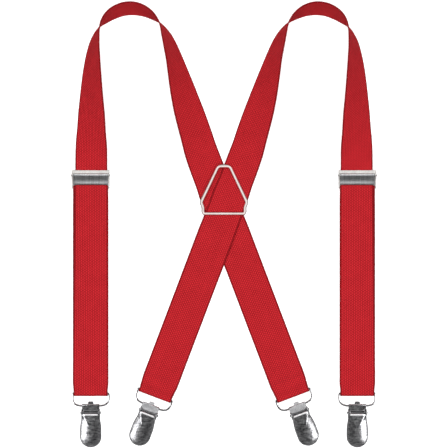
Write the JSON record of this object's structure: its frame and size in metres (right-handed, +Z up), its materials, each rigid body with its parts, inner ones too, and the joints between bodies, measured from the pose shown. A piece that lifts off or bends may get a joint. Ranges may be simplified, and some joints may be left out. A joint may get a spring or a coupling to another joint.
{
  "type": "suspenders",
  "caption": "Cross-back elastic suspenders with a wire cross buckle, lever adjusters and lever clips, laid flat with the shoulder turns standing on edge.",
  "frame": {"origin": "on the table, under the middle of the laid-out suspenders", "axes": "+Z up from the table out of the webbing's outer face, +Y towards the shoulder turns, +X towards the right front strap"},
  "size_m": [0.3056, 0.4452, 0.0355],
  "materials": {
    "webbing": "matte woven elastic with a fine rib",
    "grip": "matte moulded plastic",
    "pin_steel": "plain steel",
    "buckle_wire": "polished nickel plate",
    "adjuster_metal": "brushed nickel plate",
    "loop_wire": "polished nickel plate",
    "clip_metal": "polished nickel plate",
    "cover_metal": "polished nickel plate"
  },
  "bodies": {
    "straps": {"left_strap": "webbing", "right_strap": "webbing", "left_front_run": "webbing", "right_front_run": "webbing"},
    "cross_buckle": {"cross_buckle": "buckle_wire", "cross_buckle_bar": "buckle_wire"},
    "left_turn": {"left_turn": "webbing"},
    "left_adjuster": {"left_adjuster_frame": "adjuster_metal", "left_adjuster_pin": "pin_steel", "left_sewn_end": "webbing", "left_back_run": "webbing"},
    "left_adjuster_lever": {"left_adjuster_lever": "adjuster_metal"},
    "right_turn": {"right_turn": "webbing"},
    "right_adjuster": {"right_adjuster_frame": "adjuster_metal", "right_adjuster_pin": "pin_steel", "right_sewn_end": "webbing", "right_back_run": "webbing"},
    "right_adjuster_lever": {"right_adjuster_lever": "adjuster_metal"},
    "front_left_loop": {"front_left_loop": "loop_wire"},
    "front_left_clip": {"front_left_base": "clip_metal", "front_left_pin": "pin_steel", "front_left_pad": "grip"},
    "front_left_cover": {"front_left_cover": "cover_metal", "front_left_cam": "grip"},
    "front_right_loop": {"front_right_loop": "loop_wire"},
    "front_right_clip": {"front_right_base": "clip_metal", "front_right_pin": "pin_steel", "front_right_pad": "grip"},
    "front_right_cover": {"front_right_cover": "cover_metal", "front_right_cam": "grip"},
    "back_left_loop": {"back_left_loop": "loop_wire"},
    "back_left_clip": {"back_left_base": "clip_metal", "back_left_pin": "pin_steel", "back_left_pad": "grip"},
    "back_left_cover": {"back_left_cover": "cover_metal", "back_left_cam": "grip"},
    "back_right_loop": {"back_right_loop": "loop_wire"},
    "back_right_clip": {"back_right_base": "clip_metal", "back_right_pin": "pin_steel", "back_right_pad": "grip"},
    "back_right_cover": {"back_right_cover": "cover_metal", "back_right_cam": "grip"}
  },
  "joints": [
    {"name": "buckle_shift", "type": "slide", "parent": "straps", "child": "cross_buckle", "axis": [0, 1, 0], "range_m": [-0.0015, 0.0015]},
    {"name": "left_length", "type": "slide", "parent": "straps", "child": "left_turn", "axis": [0, -1, 0], "range_m": [-0.003, 0.1], "deforming": ["left_front_run"]},
    {"name": "left_adjuster_slide", "type": "slide", "parent": "left_turn", "child": "left_adjuster", "axis": [0, -1, 0], "range_m": [-0.003, 0.1], "deforming": ["left_back_run"]},
    {"name": "left_lever_flip", "type": "hinge", "parent": "left_adjuster", "child": "left_adjuster_lever", "pos_m": [-0.1333, 0.0486, 0.0076], "axis": [-1, 0, 0], "range_deg": [0, 110]},
    {"name": "right_length", "type": "slide", "parent": "straps", "child": "right_turn", "axis": [0, -1, 0], "range_m": [-0.003, 0.1], "deforming": ["right_front_run"]},
    {"name": "right_adjuster_slide", "type": "slide", "parent": "right_turn", "child": "right_adjuster", "axis": [0, -1, 0], "range_m": [-0.003, 0.1], "deforming": ["right_back_run"]},
    {"name": "right_lever_flip", "type": "hinge", "parent": "right_adjuster", "child": "right_adjuster_lever", "pos_m": [0.1333, 0.0486, 0.0076], "axis": [-1, 0, 0], "range_deg": [0, 110]},
    {"name": "front_left_loop_swing", "type": "hinge", "parent": "left_turn", "child": "front_left_loop", "pos_m": [-0.1333, -0.169, 0.003], "axis": [-1, 0, 0], "range_deg": [0, 60]},
    {"name": "front_left_clip_swing", "type": "hinge", "parent": "front_left_loop", "child": "front_left_clip", "pos_m": [-0.1333, -0.1816, 0.003], "axis": [-1, 0, 0], "range_deg": [0, 40]},
    {"name": "front_left_cover_open", "type": "hinge", "parent": "front_left_clip", "child": "front_left_cover", "pos_m": [-0.1333, -0.1886, 0.0046], "axis": [-1, 0, 0], "range_deg": [0, 90]},
    {"name": "front_right_loop_swing", "type": "hinge", "parent": "right_turn", "child": "front_right_loop", "pos_m": [0.1333, -0.169, 0.003], "axis": [-1, 0, 0], "range_deg": [0, 60]},
    {"name": "front_right_clip_swing", "type": "hinge", "parent": "front_right_loop", "child": "front_right_clip", "pos_m": [0.1333, -0.1816, 0.003], "axis": [-1, 0, 0], "range_deg": [0, 40]},
    {"name": "front_right_cover_open", "type": "hinge", "parent": "front_right_clip", "child": "front_right_cover", "pos_m": [0.1333, -0.1886, 0.0046], "axis": [-1, 0, 0], "range_deg": [0, 90]},
    {"name": "back_left_loop_swing", "type": "hinge", "parent": "straps", "child": "back_left_loop", "pos_m": [-0.0686, -0.1702, 0.003], "axis": [-0.9348, 0.3551, 0], "range_deg": [0, 60]},
    {"name": "back_left_clip_swing", "type": "hinge", "parent": "back_left_loop", "child": "back_left_clip", "pos_m": [-0.07308, -0.18198, 0.003], "axis": [-0.9348, 0.3551, 0], "range_deg": [0, 40]},
    {"name": "back_left_cover_open", "type": "hinge", "parent": "back_left_clip", "child": "back_left_cover", "pos_m": [-0.07556, -0.18852, 0.0046], "axis": [-0.9348, 0.3551, 0], "range_deg": [0, 90]},
    {"name": "back_right_loop_swing", "type": "hinge", "parent": "straps", "child": "back_right_loop", "pos_m": [0.0686, -0.1702, 0.003], "axis": [-0.9348, -0.3551, 0], "range_deg": [0, 60]},
    {"name": "back_right_clip_swing", "type": "hinge", "parent": "back_right_loop", "child": "back_right_clip", "pos_m": [0.07308, -0.18198, 0.003], "axis": [-0.9348, -0.3551, 0], "range_deg": [0, 40]},
    {"name": "back_right_cover_open", "type": "hinge", "parent": "back_right_clip", "child": "back_right_cover", "pos_m": [0.07556, -0.18852, 0.0046], "axis": [-0.9348, -0.3551, 0], "range_deg": [0, 90]}
  ],
  "couplings": [
    {"joint": "left_adjuster_slide", "follows": "left_length", "ratio": 1},
    {"joint": "right_adjuster_slide", "follows": "right_length", "ratio": 1}
  ]
}
